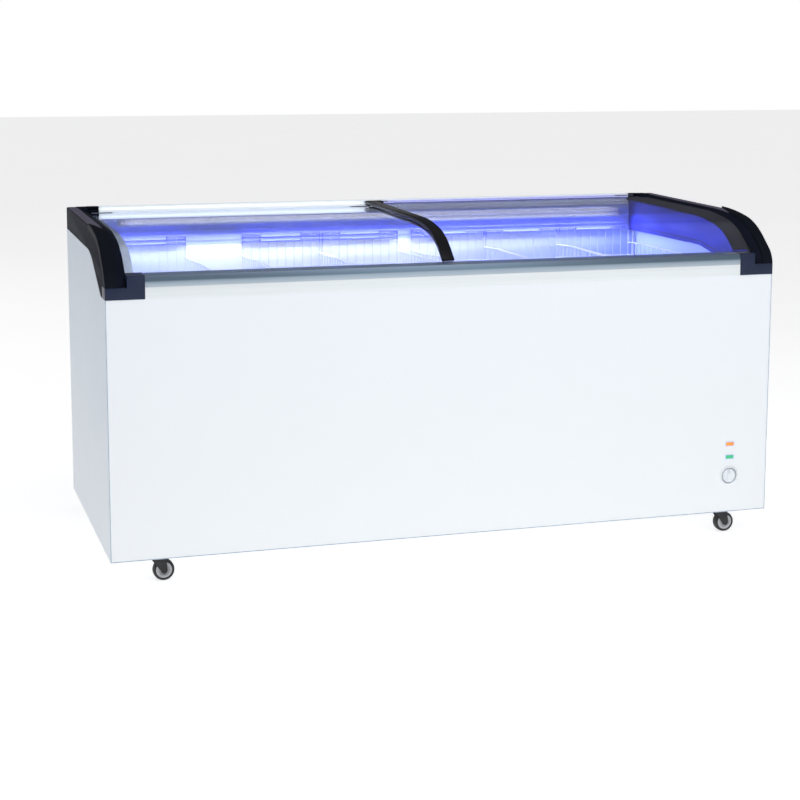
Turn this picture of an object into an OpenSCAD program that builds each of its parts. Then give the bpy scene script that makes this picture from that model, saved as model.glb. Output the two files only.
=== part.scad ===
// Curved glass chest freezer: a white insulated cabinet on swivel casters, black moulded
// end frames, two curved glass lids that slide over each other, hanging wire baskets, a
// light under the rear rail and a refrigeration unit in a bay at the right end.
// The origin is on the floor under the middle of the cabinet, +Z is up, the front faces -Y.

/* [Cabinet] */
// Overall width
cabinet_w = 1850; // [1840:5:1900]
// Overall depth
cabinet_d = 800; // [790:2:820]
// Gap between the floor and the underside of the cabinet
caster_h = 70; // [69:1:90]
// Height of the front panel
front_h = 672; // [668:1:674]
// Height of the side panels at the back
side_h = 773; // [770:1:774]
// Height of the rear rail above the underside
rear_h = 836; // [835:1:838]
// Thickness of the insulated walls
wall_t = 54; // [54:1:60]
// Thickness of the steel sheet
sheet_t = 1; // [0.8:0.1:1]

/* [End frames] */
// Width of an end frame
frame_w = 55; // [50:1:60]
// Width of a front corner block
corner_w = 100; // [90:1:110]
// Width of the raised shoulder at the front of an end frame
shoulder_w = 28; // [24:1:32]
// Height of the shoulder over the arm behind it
shoulder_rise = 5; // [3:0.5:5]

/* [Glass lids] */
// Glass thickness
glass_t = 4; // [3:0.5:4]
// How far the lower lid runs below the upper one
lid_drop = 14; // [14:0.5:16]
// Slope of the flat part of the lids, in degrees
lid_slope = 0.6; // [0.2:0.1:1]
// Width of the grip strip on the upper lid
strip_w = 34; // [30:1:40]

/* [Baskets] */
// Width of a basket
basket_w = 238; // [220:1:240]
// Height of a basket at the back
basket_h = 290; // [240:5:300]
// Wire spacing
wire_gap = 60; // [50:5:80]

/* [Casters] */
// Wheel diameter
wheel_d = 56; // [50:1:56]
// Wheel width
wheel_w = 22; // [18:1:24]
// Distance from the swivel pin to the wheel's axle, seen from above
caster_trail = 20; // [16:1:24]

/* [Hidden] */
$fn = 48;

// Outer box and the planes that the sheet steel lies on, 2 mm inside it
half_w = cabinet_w / 2;
half_d = cabinet_d / 2;
base_z = caster_h;
panel_y = half_d - 2;
sheet_y = panel_y - sheet_t;
frame_in = half_w - frame_w;
corner_in = half_w - corner_w;

// Food compartment
inner_x = half_w - frame_w - 25;
inner_y = half_d - wall_t - sheet_t;
liner_t = 1;
floor_z = base_z + 60;
bay_in = 575;
bay_top = base_z + 275;
step_x = bay_in - wall_t;
step_z = bay_top + wall_t;
pan_t = 1.5;
liner_back = base_z + 734;
liner_front = base_z + 700;

// Rails
rail_z = base_z + front_h + 30;
rail_h = 29;
rail_w = 53;
rear_rail_z = base_z + side_h + 1;
rear_face = half_d - 22;
rear_step = base_z + 803;
rear_left_end = -834;
rear_right_end = 839;
trim_h = 30;
trim_wall = 3;
arm_step_w = 12;
arm_low = -14;
arm_high = -4;
arm_wall = 3;

// Lids: the upper lid's glass, from its rear edge to its foot in the front rail
lid_rear = half_d - 14;
lid_z = base_z + 831;
lid_flat = 475;
lid_bend = [[150, 10], [115, 29]];
lid_foot = 58;
lid_end = frame_in - 2;
slide_gap = 1.5;
shoe_t = 1.2;
shoe_len = 60;

// Small parts
control_x = 810;
orange_z = base_z + 195;
green_z = base_z + 158;
dial_z = base_z + 104;
shaft_r = 3;
fan_x = 750;
fan_z = 200;
fan_r = 85;
bore_gap = 0.05;
shroud_half = 122;
tube_x = 780;
tube_y = inner_y - 12.5;
tube_z = base_z + 789;
tube_r = 7;
trough_x = 790;
drain_at = [-780, -250];
gland_x = 895;
gland_z = base_z + 30;
grille_low = [610, base_z + 40];
grille_size = [280, 210];
grille_slot = [110, 8];
slot_pitch = 18;
compressor_at = [745, 200];
compressor_foot_h = 20;
coil_rows = [-206, -174];
coil_r = 4;
fin_y = [-222, -158];
fin_pitch = 16;
bend_w = 8;
lamp_w = 27;
lamp_h = 13;
dial_r = 28;
knob_r = 20;
basket_middles = [-710, -306, -63, 216, 457, 700];
caster_x = 803;
caster_y = 345;
axle_r = 4;
pin_r = 5;

// ---- Outlines in the side view, as [y, z] -------------------------------------------

// A point on one leg of a path. A leg is [length, turn in degrees], and a place is
// [y, z, heading], where a heading of 180 runs towards the front and 270 runs down.
function on_leg(p, leg, t) =
  let (length = leg[0], turn = leg[1])
  turn == 0
    ? [p[0] + length * t * cos(p[2]), p[1] + length * t * sin(p[2]), p[2]]
    : let (r = length * 180 / (turn * PI), h = p[2] + turn * t)
      [p[0] + r * (sin(h) - sin(p[2])), p[1] - r * (cos(h) - cos(p[2])), h];

function steps(leg) = leg[1] == 0 ? 1 : ceil(abs(leg[1]) / 4);

function path(p, legs, i = 0) =
  i == len(legs)
    ? [p]
    : concat(
        [for (k = [0 : steps(legs[i]) - 1]) on_leg(p, legs[i], k / steps(legs[i]))],
        path(on_leg(p, legs[i], 1), legs, i + 1));

function last(v) = v[len(v) - 1];
function reversed(v) = [for (i = [len(v) - 1 : -1 : 0]) v[i]];

// The path moved d millimetres outwards
function side(line, d) = [for (q = line) [q[0] + d * sin(q[2]), q[1] - d * cos(q[2])]];

// The strip between two distances from a path
function band(line, low, high) = concat(side(line, high), reversed(side(line, low)));

// Upper glass surface of the upper lid, started a little way along it, with a foot length
function lid_path(start, foot) =
  let (p = [lid_rear, lid_z, 180 + lid_slope])
  path(on_leg(p, [start, 0], 1), concat([[lid_flat - start, 0]], lid_bend, [[foot, 0]]));

// Ridge of the end frames, which ends upright at the front face
frame_bend = concat(lid_bend, [[45, 0], [55, 90 - lid_slope - 39]]);
frame_reach = last(path([0, 0, 180 + lid_slope], frame_bend));
frame_run = (2 * half_d - 1 + frame_reach[0]) / cos(lid_slope);
function frame_path(start) =
  let (p = [half_d, base_z + 839, 180 + lid_slope])
  path(on_leg(p, [start, 0], 1), concat([[frame_run - start, 0]], frame_bend));

// Top edge of the side panels: nearly level, then down to the front panel's top
side_bend = path([half_d, base_z + side_h, 180.8], [[470, 0], [110, 25]]);
side_fall = last(side_bend);
side_foot_y = side_fall[0] - (side_fall[1] - base_z - front_h) / tan(side_fall[2] - 180);
side_edge = concat([for (q = side_bend) [q[0], q[1]]], [[side_foot_y, base_z + front_h]]);

// Top edge of the liner's end walls
liner_edge = [[inner_y + 1, liner_back], [-150, liner_back - 7], [-240, liner_back - 23],
              [-inner_y - 1, liner_front]];

// Outline of an end frame under a chosen height over its ridge line
function frame_outline(rise) = concat(side(frame_path(0), rise),
  [[-half_d + 5, base_z + front_h], [side_foot_y, base_z + front_h]], reversed(side_edge));

// ---- Builders -----------------------------------------------------------------------

// Extrudes a side-view outline from x0 to x1
module along_x(x0, x1) {
  translate([x0, 0, 0]) rotate([90, 0, 90]) linear_extrude(x1 - x0) children();
}

// Extrudes a front-view outline, [x, z], from y0 to y1
module along_y(y0, y1) {
  translate([0, y1, 0]) rotate([90, 0, 0]) linear_extrude(y1 - y0) children();
}

module box(low, high) {
  translate(low) cube(high - low);
}

module rod_y(x, z, r, y0, y1) {
  translate([x, y1, z]) rotate([90, 0, 0]) cylinder(r = r, h = y1 - y0);
}

module rod_x(y, z, r, x0, x1) {
  translate([x0, y, z]) rotate([0, 90, 0]) cylinder(r = r, h = x1 - x0);
}

// Slots in the front rail that the feet of both lids stand in
module foot_slots() {
  start = last(lid_path(0, 0));
  for (drop = [0, lid_drop])
    polygon(band(path(start, [[lid_foot + 2, 0]]),
                 -glass_t - slide_gap - drop, slide_gap - drop));
}

// Grooves in the rear rail that the rear edges of both lids run in
module rear_grooves() {
  for (drop = [0, lid_drop])
    translate([rear_face - 1, lid_z - glass_t - slide_gap - drop - 0.1])
      square([half_d - 12 - rear_face + 1, glass_t + 2 * slide_gap + 0.1]);
}

// ---- Cabinet ------------------------------------------------------------------------

module front_panel() {
  color("white")
  difference() {
    box([-half_w, -panel_y, base_z], [half_w, -sheet_y, base_z + front_h]);
    for (z = [orange_z, green_z])
      box([control_x - 13.7, -half_d, z - 6.7], [control_x + 13.7, 0, z + 6.7]);
    rod_y(control_x, dial_z, 24.2, -half_d, 0);
  }
}

module side_panel(x0) {
  color("lightsteelblue")
  along_x(x0, x0 + sheet_t)
    intersection() {
      polygon(concat(side_edge, [[-half_d, base_z + front_h], [-half_d, base_z],
                                 [half_d, base_z]]));
      translate([-sheet_y, base_z]) square([2 * sheet_y, cabinet_d]);
    }
}

module left_side_panel() {
  side_panel(-half_w);
}

module right_side_panel() {
  side_panel(half_w - sheet_t);
}

module rear_panel() {
  color("gainsboro")
  difference() {
    box([-half_w, sheet_y, base_z], [half_w, panel_y, base_z + side_h]);
    box([620, 0, base_z + 50], [880, half_d, base_z + 240]);
    rod_y(gland_x, gland_z, 7, 0, half_d);
  }
}

module base_pan() {
  color("silver")
  difference() {
    box([-half_w + sheet_t, -sheet_y, base_z], [half_w - sheet_t, sheet_y, base_z + pan_t]);
    for (x = [610 : 40 : 890])
      box([x - 8, -120, 0], [x + 8, 60, 2 * base_z]);
    translate([drain_at.x, drain_at.y, 0]) cylinder(r = 9.1, h = 2 * base_z);
  }
}

module bay_space() {
  box([bay_in, -half_d, 0], [half_w, half_d, bay_top]);
}

// Everything inside the liner's outer face, open at the top
module liner_space(grow) {
  along_y(-inner_y - grow, inner_y + grow)
    polygon([[-inner_x - grow, floor_z - grow], [step_x + grow, floor_z - grow],
             [step_x + grow, step_z - grow], [inner_x + grow, step_z - grow],
             [inner_x + grow, 2 * rear_h], [-inner_x - grow, 2 * rear_h]]);
}

module coil_loops(grow) {
  for (k = [0 : 3])
    translate([0, 0, base_z + 380 + 70 * k])
      difference() {
        box([-inner_x - 9 - grow, -inner_y - 9 - grow, 0],
            [inner_x + 9 + grow, inner_y + 9 + grow, 8]);
        box([-inner_x - liner_t, -inner_y - liner_t, -1],
            [inner_x + liner_t, inner_y + liner_t, 9]);
      }
}

module foam_core() {
  color("khaki")
  difference() {
    along_x(-half_w + sheet_t, half_w - sheet_t)
      intersection() {
        polygon(concat(side_edge, [[-half_d, base_z + front_h], [-half_d, base_z],
                                   [half_d, base_z]]));
        translate([-sheet_y, base_z + pan_t]) square([2 * sheet_y, cabinet_d]);
      }
    liner_space(liner_t);
    bay_space();
    coil_loops(0);
    for (x = [-frame_in, corner_in])
      along_x(x, x + frame_in - corner_in) inner_moulding_zone();
  }
}

// Region over the liner's end walls that the frames' inner mouldings fill
module inner_moulding_zone() {
  polygon([[inner_y + 1, liner_back], [inner_y + 1, 2 * rear_h], [-inner_y - 1, 2 * rear_h],
           [-inner_y - 1, liner_front], liner_edge[2], liner_edge[1]]);
}

// Flat sheets that meet at sealed corner seams
module liner() {
  seam = 0.2;
  across = inner_y - seam;
  color("white") {
    box([-inner_x + seam, -across, floor_z - liner_t], [step_x - seam, across, floor_z]);
    box([step_x, -across, floor_z - liner_t],
        [step_x + liner_t, across, step_z - liner_t - seam]);
    box([step_x, -across, step_z - liner_t], [inner_x - seam, across, step_z]);
    for (wall = [[-inner_x - liner_t, floor_z], [inner_x, step_z]])
      along_x(wall[0], wall[0] + liner_t)
        intersection() {
          polygon(concat([[half_d, 0], [half_d, liner_back]], liner_edge,
                         [[-half_d, liner_front], [-half_d, 0]]));
          translate([-across, wall[1] - liner_t]) square([2 * across, cabinet_d]);
        }
    for (wall = [[-inner_y - liner_t, liner_front], [inner_y, liner_back]])
      along_y(wall[0], wall[0] + liner_t)
        polygon([[-inner_x - liner_t, floor_z - liner_t], [step_x + liner_t, floor_z - liner_t],
                 [step_x + liner_t, step_z - liner_t], [inner_x + liner_t, step_z - liner_t],
                 [inner_x + liner_t, wall[1]], [-inner_x - liner_t, wall[1]]]);
  }
}

module liner_breaker() {
  color("white")
  box([-inner_x, inner_y - 1, liner_back], [corner_in, inner_y + 1, rear_step]);
}

module evaporator_coil() {
  color("silver") coil_loops(0);
}

// Ledges on the front and rear walls that the baskets hang from
module basket_ledges() {
  color("silver")
  for (x = basket_middles) {
    box([x - basket_w / 2, inner_y - 11, base_z + 743],
        [x + basket_w / 2, inner_y - 1.2, base_z + 745]);
    box([x - basket_w / 2, -inner_y, base_z + 686], [x + basket_w / 2, -inner_y + 11, base_z + 688]);
  }
}

// ---- Rails and end frames -----------------------------------------------------------

module front_rail() {
  color("slategray")
  along_x(-corner_in, corner_in)
    difference() {
      polygon([[-half_d, rail_z], [-half_d, rail_z + 14], [-half_d + 3, rail_z + rail_h],
               [-half_d + rail_w, rail_z + rail_h], [-half_d + rail_w, rail_z]]);
      foot_slots();
    }
}

module front_rail_trim() {
  color("white")
  along_x(-corner_in, corner_in)
    difference() {
      translate([-half_d, base_z + front_h]) square([rail_w, trim_h]);
      translate([-half_d + trim_wall, base_z + front_h + trim_wall])
        square([rail_w - 2 * trim_wall, trim_h - 2 * trim_wall]);
    }
}

module rear_profile() {
  difference() {
    polygon([[inner_y + 1, rear_rail_z], [inner_y + 1, rear_step], [rear_face, rear_step],
             [rear_face, base_z + rear_h], [half_d, base_z + rear_h], [half_d, rear_rail_z]]);
    rear_grooves();
  }
}

module rear_rail() {
  color("white")
  along_x(rear_left_end, rear_right_end) rear_profile();
}

module left_rear_corner() {
  color([0.12, 0.13, 0.18])
  along_x(-frame_in, rear_left_end) rear_profile();
}

module right_rear_corner() {
  color([0.12, 0.13, 0.18])
  along_x(rear_right_end, frame_in) rear_profile();
}

// Corner block at the front: its lower half spans the frame, its upper half stands beside it
module front_corner() {
  color([0.14, 0.15, 0.24])
  difference() {
    union() {
      box([corner_in, -half_d, base_z + front_h], [half_w, -half_d + rail_w, rail_z]);
      box([corner_in, -half_d, rail_z], [frame_in, -half_d + rail_w, rail_z + trim_h]);
    }
    along_x(corner_in - 1, frame_in) foot_slots();
  }
}

module right_front_corner() {
  front_corner();
}

module left_front_corner() {
  mirror([1, 0, 0]) front_corner();
}

// Hollow arm, open underneath, with a lower step along its inner edge
module frame_arm() {
  difference() {
    union() {
      along_x(frame_in, frame_in + arm_step_w) polygon(frame_outline(arm_low));
      along_x(frame_in + arm_step_w, half_w) polygon(frame_outline(arm_high));
    }
    along_x(frame_in + arm_wall, half_w - arm_wall)
      intersection() {
        polygon(concat(side(frame_path(0), arm_low - 4), [[-half_d + 5, 0], [half_d, 0]]));
        translate([-half_d + 24, 0]) square([cabinet_d - 27, 3 * rear_h]);
      }
    box([frame_in - 1, -half_d - 1, 0], [half_w + 1, -half_d + rail_w, rail_z]);
  }
}

module right_end_frame() {
  color([0.12, 0.13, 0.18]) {
    frame_arm();
    along_x(corner_in, frame_in)
      intersection() {
        polygon(concat(side(lid_path(0, 30), -lid_drop), [[-half_d, liner_front]],
                       reversed(liner_edge), [[half_d, liner_back]]));
        translate([-inner_y - 1, 0]) square([2 * inner_y + 2, 3 * rear_h]);
      }
  }
}

module left_end_frame() {
  color([0.12, 0.13, 0.18]) {
    mirror([1, 0, 0]) frame_arm();
    along_x(-frame_in, -inner_x)
      intersection() {
        polygon(concat(side(lid_path(0, 30), -lid_drop - glass_t - 4),
                       [[-half_d, liner_front]], reversed(liner_edge), [[half_d, liner_back]]));
        translate([-inner_y - 1, 0]) square([2 * inner_y + 2, 3 * rear_h]);
      }
  }
}

// Raised shoulder on the outer edge of the arm, from the start of the bend to the corner
module shoulder() {
  color([0.1, 0.11, 0.15])
  along_x(half_w - shoulder_w, half_w)
    intersection() {
      polygon(band(frame_path(half_d + 80), arm_high, shoulder_rise + arm_high));
      translate([-half_d, rail_z]) square([cabinet_d, rear_h]);
    }
}

module right_shoulder() {
  shoulder();
}

module left_shoulder() {
  mirror([1, 0, 0]) shoulder();
}

// ---- Light, drain and cable inlet ---------------------------------------------------

module light_holder() {
  color("white")
  along_x(-trough_x, trough_x)
    translate([inner_y - 17, base_z + 776])
      difference() {
        square([16, 26]);
        translate([-1, 4]) square([13, 18]);
      }
}

module light_tube() {
  color("azure")
  rod_x(tube_y, tube_z, tube_r, -tube_x, tube_x);
}

module drain_plug() {
  color("gray")
  translate([drain_at.x, drain_at.y, floor_z]) cylinder(r = 14, h = 6);
}

module drain_outlet() {
  color("gray")
  translate([drain_at.x, drain_at.y, base_z - 14])
    difference() {
      cylinder(r = 9, h = 14);
      translate([0, 0, -1]) cylinder(r = 6, h = 12);
    }
}

module cable_gland() {
  color("black")
  difference() {
    union() {
      rod_y(gland_x, gland_z, 11, panel_y, half_d);
      rod_y(gland_x, gland_z, 6.9, panel_y - 14, half_d);
    }
    rod_y(gland_x, gland_z, 4, panel_y - 15, half_d + 1);
  }
}

// ---- Refrigeration unit -------------------------------------------------------------

module rear_grille() {
  color("dimgray")
  along_y(panel_y, panel_y + 1.2)
    difference() {
      translate(grille_low) square(grille_size);
      for (x = [22, 148], k = [0 : 9])
        translate(grille_low + [x, slot_pitch * (k + 1)]) square(grille_slot);
    }
}

module compressor() {
  color([0.1, 0.1, 0.1])
  translate([compressor_at.x, compressor_at.y, base_z + pan_t + compressor_foot_h]) {
    translate([-90, -75, 0]) cube([180, 150, 3]);
    translate([0, 0, 3])
      rotate_extrude()
        polygon([[0, 0], [58, 0], [72, 14], [72, 92], [66, 108], [50, 122], [26, 130], [0, 132]]);
    translate([70, -28, 40]) cube([24, 56, 60]);
  }
}

module compressor_feet() {
  color("dimgray")
  for (x = [-75, 75], y = [-58, 58])
    translate([compressor_at.x + x, compressor_at.y + y, base_z + pan_t])
      cylinder(r = 12, h = compressor_foot_h);
}

module condenser() {
  color("dimgray") {
    for (x = [632 : fin_pitch : 872])
      box([x, fin_y[0], base_z + pan_t + 8], [x + 1, fin_y[1], base_z + 250]);
    for (y = coil_rows, k = [0 : 5])
      rod_x(y, base_z + 40 + 36 * k, coil_r, 617 + bend_w, 880);
    for (y = coil_rows, k = [0 : 2])
      box([617, y - coil_r, base_z + 36 + 72 * k], [617 + bend_w, y + coil_r, base_z + 80 + 72 * k]);
    box([628, fin_y[0], base_z + pan_t], [878, fin_y[0] + 4, base_z + pan_t + 7.5]);
  }
}

module fan_shroud() {
  color("dimgray")
  difference() {
    box([fan_x - shroud_half, -152, base_z + pan_t], [fan_x + shroud_half, -146, base_z + 252]);
    rod_y(fan_x, fan_z, fan_r + 7, -160, -140);
  }
}

module fan_motor() {
  color("gray") {
    rod_y(fan_x, fan_z, 28, -112, -76);
    rod_y(fan_x, fan_z, shaft_r, -145, -111);
    box([fan_x - shroud_half, -100, base_z + pan_t], [fan_x + shroud_half, -88, base_z + pan_t + 3]);
    box([fan_x - 6, -100, base_z + pan_t], [fan_x + 6, -88, fan_z - 26]);
  }
}

module fan_blades() {
  color("lightgray")
  translate([fan_x, -132, fan_z])
    rotate([90, 0, 0])
      difference() {
        union() {
          translate([0, 0, -8]) cylinder(r = 18, h = 16);
          for (k = [0 : 4])
            rotate([0, 0, 72 * k]) translate([15, 0, 0]) rotate([28, 0, 0])
              translate([0, -15, -0.8]) cube([fan_r - 17, 30, 1.6]);
        }
        translate([0, 0, -9]) cylinder(r = shaft_r + bore_gap, h = 18);
      }
}

// ---- Controls -----------------------------------------------------------------------

module thermostat_body() {
  color("white")
  difference() {
    box([control_x - 22, -panel_y + 16, dial_z - 18], [control_x + 22, -panel_y + 50, dial_z + 18]);
    rod_y(control_x, dial_z, shaft_r + bore_gap, -half_d, -panel_y + 34);
  }
}

module thermostat_bezel() {
  color("white")
  difference() {
    union() {
      rod_y(control_x, dial_z, dial_r, -half_d + 0.4, -panel_y);
      rod_y(control_x, dial_z, dial_r - 4, -panel_y - 0.5, -panel_y + 15.5);
    }
    rod_y(control_x, dial_z, knob_r + 2.5, -half_d, -panel_y + 14);
    rod_y(control_x, dial_z, 3.6, -half_d, 0);
  }
}

module thermostat_knob() {
  color("white") {
    rod_y(control_x, dial_z, knob_r, -half_d + 0.8, -panel_y + 13);
    rod_y(control_x, dial_z, shaft_r, -panel_y + 12, -panel_y + 32);
  }
}

module lamp(z) {
  box([control_x - lamp_w / 2, -half_d + 0.4, z - lamp_h / 2],
      [control_x + lamp_w / 2, -panel_y + 16, z + lamp_h / 2]);
}

module orange_lamp() {
  color("orange") lamp(orange_z);
}

module green_lamp() {
  color("mediumseagreen") lamp(green_z);
}

// ---- Glass lids ---------------------------------------------------------------------

module glass_sheet(x0, x1, drop) {
  along_x(x0, x1) polygon(band(lid_path(0, lid_foot), -glass_t - drop, -drop));
}

// Channel wrapped over a lid's edge, from under the rear rail down to the front rail
module edge_channel(drop, low, high, foot) {
  polygon(band(lid_path(41, foot), low - drop, high - drop));
}

// Nylon shoes on the rear edge and the foot of a lid
module shoes(xs, drop) {
  rear_start = on_leg([lid_rear, lid_z, 180 + lid_slope], [-shoe_t, 0], 1);
  foot_start = last(lid_path(0, lid_foot - 9));
  for (x = xs, start = [[rear_start, 8 + shoe_t], [foot_start, 9 + shoe_t]])
    along_x(x, x + shoe_len)
      difference() {
        polygon(band(path(start[0], [[start[1], 0]]), -glass_t - shoe_t - drop, shoe_t - drop));
        polygon(band(lid_path(0, lid_foot), -glass_t - drop, -drop));
      }
}

module left_glass() {
  color([0.6, 0.8, 0.9, 0.4]) glass_sheet(-lid_end, -3, lid_drop);
}

module right_glass() {
  color([0.6, 0.8, 0.9, 0.4]) glass_sheet(-strip_w + 1, lid_end, 0);
}

module left_lid_trim() {
  color([0.1, 0.1, 0.12])
  difference() {
    along_x(-strip_w + 5, -1) edge_channel(lid_drop, -glass_t - 2, 2, 22);
    glass_sheet(-lid_end, -3, lid_drop);
  }
}

module right_lid_strip() {
  color([0.05, 0.05, 0.06])
  difference() {
    along_x(-strip_w - 1, -1) edge_channel(0, -glass_t - 2, 4, 38);
    glass_sheet(-strip_w + 1, lid_end, 0);
  }
}

module left_lid_runners() {
  color("ivory") shoes([-lid_end + 12, -3 - 12 - shoe_len], lid_drop);
}

module right_lid_runners() {
  color("ivory") shoes([-strip_w + 14, lid_end - 12 - shoe_len], 0);
}

// Grip block on the rear end of the upper lid's strip
module right_lid_block() {
  color([0.05, 0.05, 0.06])
  difference() {
    box([-32, half_d - 54.6, lid_z - 10.5], [18, half_d - 24, lid_z + 3.5]);
    glass_sheet(-strip_w + 1, lid_end, 0);
  }
}

// ---- Wire baskets -------------------------------------------------------------------

wire_t = 3;
basket_front = -inner_y + 17;
basket_back = inner_y - 18;
basket_floor = base_z + 755 - basket_h;

// A grid of square wires that fills a w by h rectangle
module grid(w, h) {
  columns = max(2, round(w / wire_gap));
  rows = max(2, round(h / wire_gap));
  difference() {
    square([w, h]);
    for (i = [0 : columns - 1], j = [0 : rows - 1])
      translate([wire_t + i * (w - wire_t) / columns, wire_t + j * (h - wire_t) / rows])
        square([(w - wire_t) / columns - wire_t, (h - wire_t) / rows - wire_t]);
  }
}

// Hanger on the top of a basket's wall, a flat lip with two hooks turned over the ledge
module hanger(y_wall, y_lip, z) {
  for (s = [-1, 1])
    box([s * (basket_w / 2 - 27) - 25, min(y_wall, y_lip), z],
        [s * (basket_w / 2 - 27) + 25, max(y_wall, y_lip), z + 3]);
}

module basket(i) {
  depth = basket_back - basket_front;
  front_top = base_z + 694;
  color("white")
  translate([basket_middles[i], 0, 0]) {
    translate([-basket_w / 2, basket_front, basket_floor])
      linear_extrude(wire_t) grid(basket_w, depth);
    for (x = [-basket_w / 2, basket_w / 2 - wire_t])
      along_x(x, x + wire_t)
        translate([basket_front, basket_floor + wire_t + 0.2])
          grid(depth, front_top - basket_floor - wire_t - 0.2);
    for (wall = [[basket_front, front_top], [basket_back - wire_t, base_z + 755]])
      along_y(wall[0], wall[0] + wire_t)
        translate([-basket_w / 2 + wire_t + 0.2, basket_floor + wire_t + 0.2])
          grid(basket_w - 2 * wire_t - 0.4, wall[1] - basket_floor - wire_t - 0.2);
    hanger(basket_back + 0.2, inner_y - 1.5, base_z + 745.3);
    hanger(basket_front - 0.2, -inner_y + 0.5, base_z + 688.3);
  }
}

module basket_1() {
  basket(0);
}

module basket_2() {
  basket(1);
}

module basket_3() {
  basket(2);
}

module basket_4() {
  basket(3);
}

module basket_5() {
  basket(4);
}

module basket_6() {
  basket(5);
}

// ---- Casters ------------------------------------------------------------------------

plate_t = 3.5;
race_h = 3;
pin_head_h = 2.5;
fork_t = 3.3;
fork_z = caster_h - plate_t - race_h - 0.3 - fork_t;

// Fixed part of each caster: plate, race, and the swivel pin with its head
module caster_mounts() {
  color("dimgray")
  for (x = [-caster_x, caster_x], y = [-caster_y, caster_y])
    translate([x, y, 0]) {
      translate([-26, -26, caster_h - plate_t]) cube([52, 52, plate_t]);
      translate([0, 0, caster_h - plate_t - race_h]) cylinder(r = 16, h = race_h);
      translate([0, 0, fork_z - 0.3]) cylinder(r = pin_r, h = fork_t + 0.8);
      translate([0, 0, fork_z - 0.3 - pin_head_h]) cylinder(r = 7.5, h = pin_head_h);
    }
}

module fork(x, y) {
  inside = wheel_w / 2 + 1;
  color("black")
  translate([x, y, 0]) {
    difference() {
      translate([-18, -inside - 2.5, fork_z]) cube([44, 2 * inside + 5, fork_t]);
      translate([0, 0, fork_z - 1]) cylinder(r = pin_r + bore_gap, h = fork_t + 2);
    }
    for (y0 = [-inside - 2.5, inside])
      along_y(y0, y0 + 2.5) {
        polygon([[-14, fork_z + 1], [26, fork_z + 1], [caster_trail + 9, wheel_d / 2],
                 [caster_trail - 9, wheel_d / 2]]);
        translate([caster_trail, wheel_d / 2]) circle(r = 9);
      }
    rod_y(caster_trail, wheel_d / 2, axle_r, -inside - 2.5, inside + 2.5);
  }
}

module wheel(x, y) {
  color("dimgray")
  difference() {
    rod_y(x + caster_trail, wheel_d / 2, wheel_d / 2, y - wheel_w / 2, y + wheel_w / 2);
    for (side_y = [y - wheel_w / 2 - 1, y + wheel_w / 2 - 1.5])
      difference() {
        rod_y(x + caster_trail, wheel_d / 2, wheel_d / 2 - 8, side_y, side_y + 2.5);
        rod_y(x + caster_trail, wheel_d / 2, 9, side_y, side_y + 2.5);
      }
    rod_y(x + caster_trail, wheel_d / 2, axle_r + bore_gap, y - wheel_w, y + wheel_w);
  }
}

module fork_front_left() {
  fork(-caster_x, -caster_y);
}

module fork_front_right() {
  fork(caster_x, -caster_y);
}

module fork_rear_left() {
  fork(-caster_x, caster_y);
}

module fork_rear_right() {
  fork(caster_x, caster_y);
}

module wheel_front_left() {
  wheel(-caster_x, -caster_y);
}

module wheel_front_right() {
  wheel(caster_x, -caster_y);
}

module wheel_rear_left() {
  wheel(-caster_x, caster_y);
}

module wheel_rear_right() {
  wheel(caster_x, caster_y);
}

// ---- Assembly -----------------------------------------------------------------------

front_panel();
left_side_panel();
right_side_panel();
rear_panel();
base_pan();
foam_core();
liner();
liner_breaker();
evaporator_coil();
basket_ledges();
front_rail();
front_rail_trim();
rear_rail();
left_end_frame();
right_end_frame();
left_shoulder();
right_shoulder();
left_front_corner();
right_front_corner();
left_rear_corner();
right_rear_corner();
light_holder();
light_tube();
drain_plug();
drain_outlet();
cable_gland();
rear_grille();
compressor();
compressor_feet();
condenser();
fan_shroud();
fan_motor();
fan_blades();
thermostat_body();
thermostat_bezel();
thermostat_knob();
orange_lamp();
green_lamp();
left_glass();
left_lid_trim();
left_lid_runners();
right_glass();
right_lid_strip();
right_lid_runners();
right_lid_block();
basket_1();
basket_2();
basket_3();
basket_4();
basket_5();
basket_6();
caster_mounts();
fork_front_left();
fork_front_right();
fork_rear_left();
fork_rear_right();
wheel_front_left();
wheel_front_right();
wheel_rear_left();
wheel_rear_right();
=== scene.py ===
import math
from math import radians

import bmesh
import bpy
from mathutils import Matrix, Vector


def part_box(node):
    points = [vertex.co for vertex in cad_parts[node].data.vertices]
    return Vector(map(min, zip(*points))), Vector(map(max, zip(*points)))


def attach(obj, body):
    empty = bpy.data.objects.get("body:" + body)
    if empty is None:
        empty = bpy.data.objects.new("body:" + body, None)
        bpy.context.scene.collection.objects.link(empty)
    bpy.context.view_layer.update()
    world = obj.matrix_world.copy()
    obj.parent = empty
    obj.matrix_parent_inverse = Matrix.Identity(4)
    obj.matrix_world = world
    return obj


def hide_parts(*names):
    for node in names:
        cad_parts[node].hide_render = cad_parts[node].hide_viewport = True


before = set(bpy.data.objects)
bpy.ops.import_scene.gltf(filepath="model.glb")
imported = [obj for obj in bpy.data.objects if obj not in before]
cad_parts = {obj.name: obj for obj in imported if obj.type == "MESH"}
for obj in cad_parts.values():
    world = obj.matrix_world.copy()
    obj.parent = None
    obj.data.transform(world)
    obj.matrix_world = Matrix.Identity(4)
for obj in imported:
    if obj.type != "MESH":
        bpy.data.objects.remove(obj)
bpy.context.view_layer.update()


# ---- Powder-coated steel cabinet ----------------------------------------------------
# Front, rear and side panels are thin steel sheet with a satin powder coat, foamed to
# the liner. The coat has a faint orange peel and its tone drifts a little over a panel.

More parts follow.
